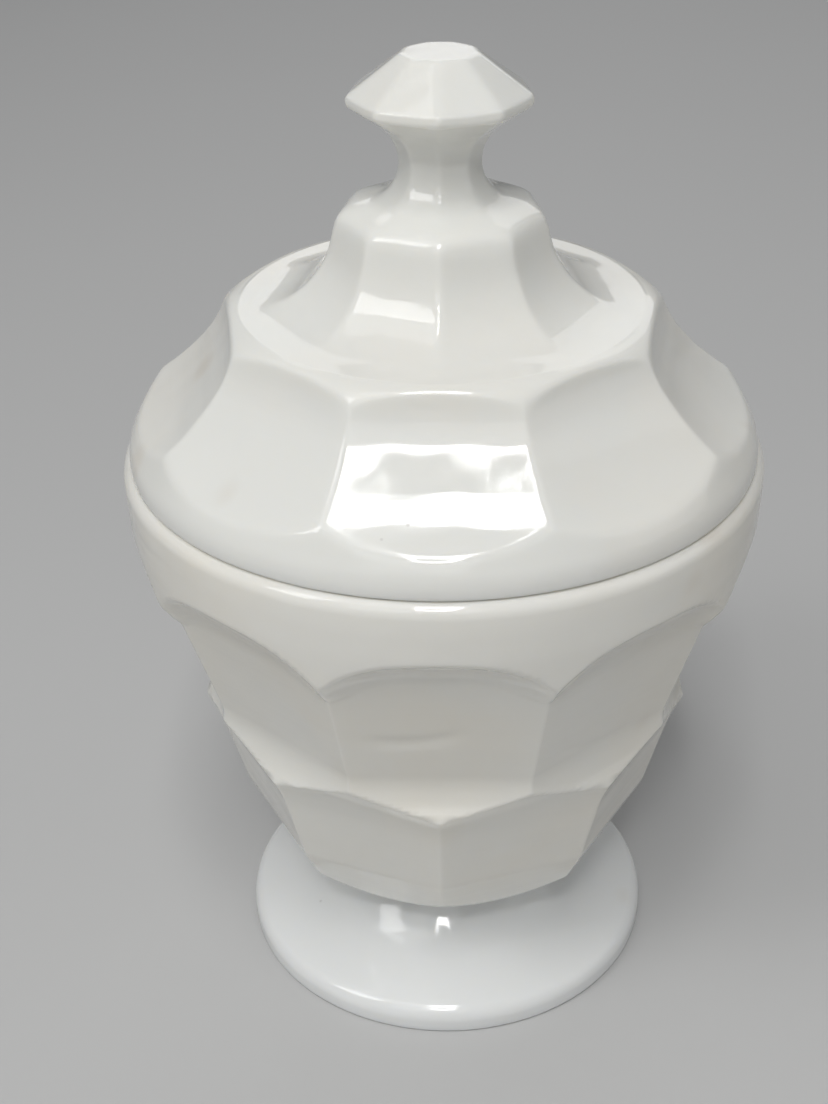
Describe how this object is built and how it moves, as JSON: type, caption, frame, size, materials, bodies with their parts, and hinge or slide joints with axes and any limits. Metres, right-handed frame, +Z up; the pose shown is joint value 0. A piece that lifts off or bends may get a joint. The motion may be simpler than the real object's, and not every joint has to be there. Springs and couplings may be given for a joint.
{
  "type": "footed covered jar",
  "caption": "Footed jar in opaque white opal glass with pressed thumbprint panels, a round ledge, and a lift-off cover with a waisted neck and a faceted knob.",
  "frame": {"origin": "centre of the ring that the foot rests on", "axes": "+Z up along the jar's axis; -Y is the front, where a panel's ridge stands on the lower bowl and the cover"},
  "size_m": [0.1236, 0.1236, 0.1908],
  "materials": {
    "jar_glass": "fire-polished opal, opaque and glossy",
    "cover_glass": "fire-polished opal, opaque and glossy"
  },
  "bodies": {
    "jar": {"jar": "jar_glass"},
    "cover": {"cover": "cover_glass"}
  },
  "joints": [
    {"name": "cover_lift", "type": "slide", "parent": "jar", "child": "cover", "axis": [0, 0, 1], "range_m": [0, 0.09]}
  ]
}
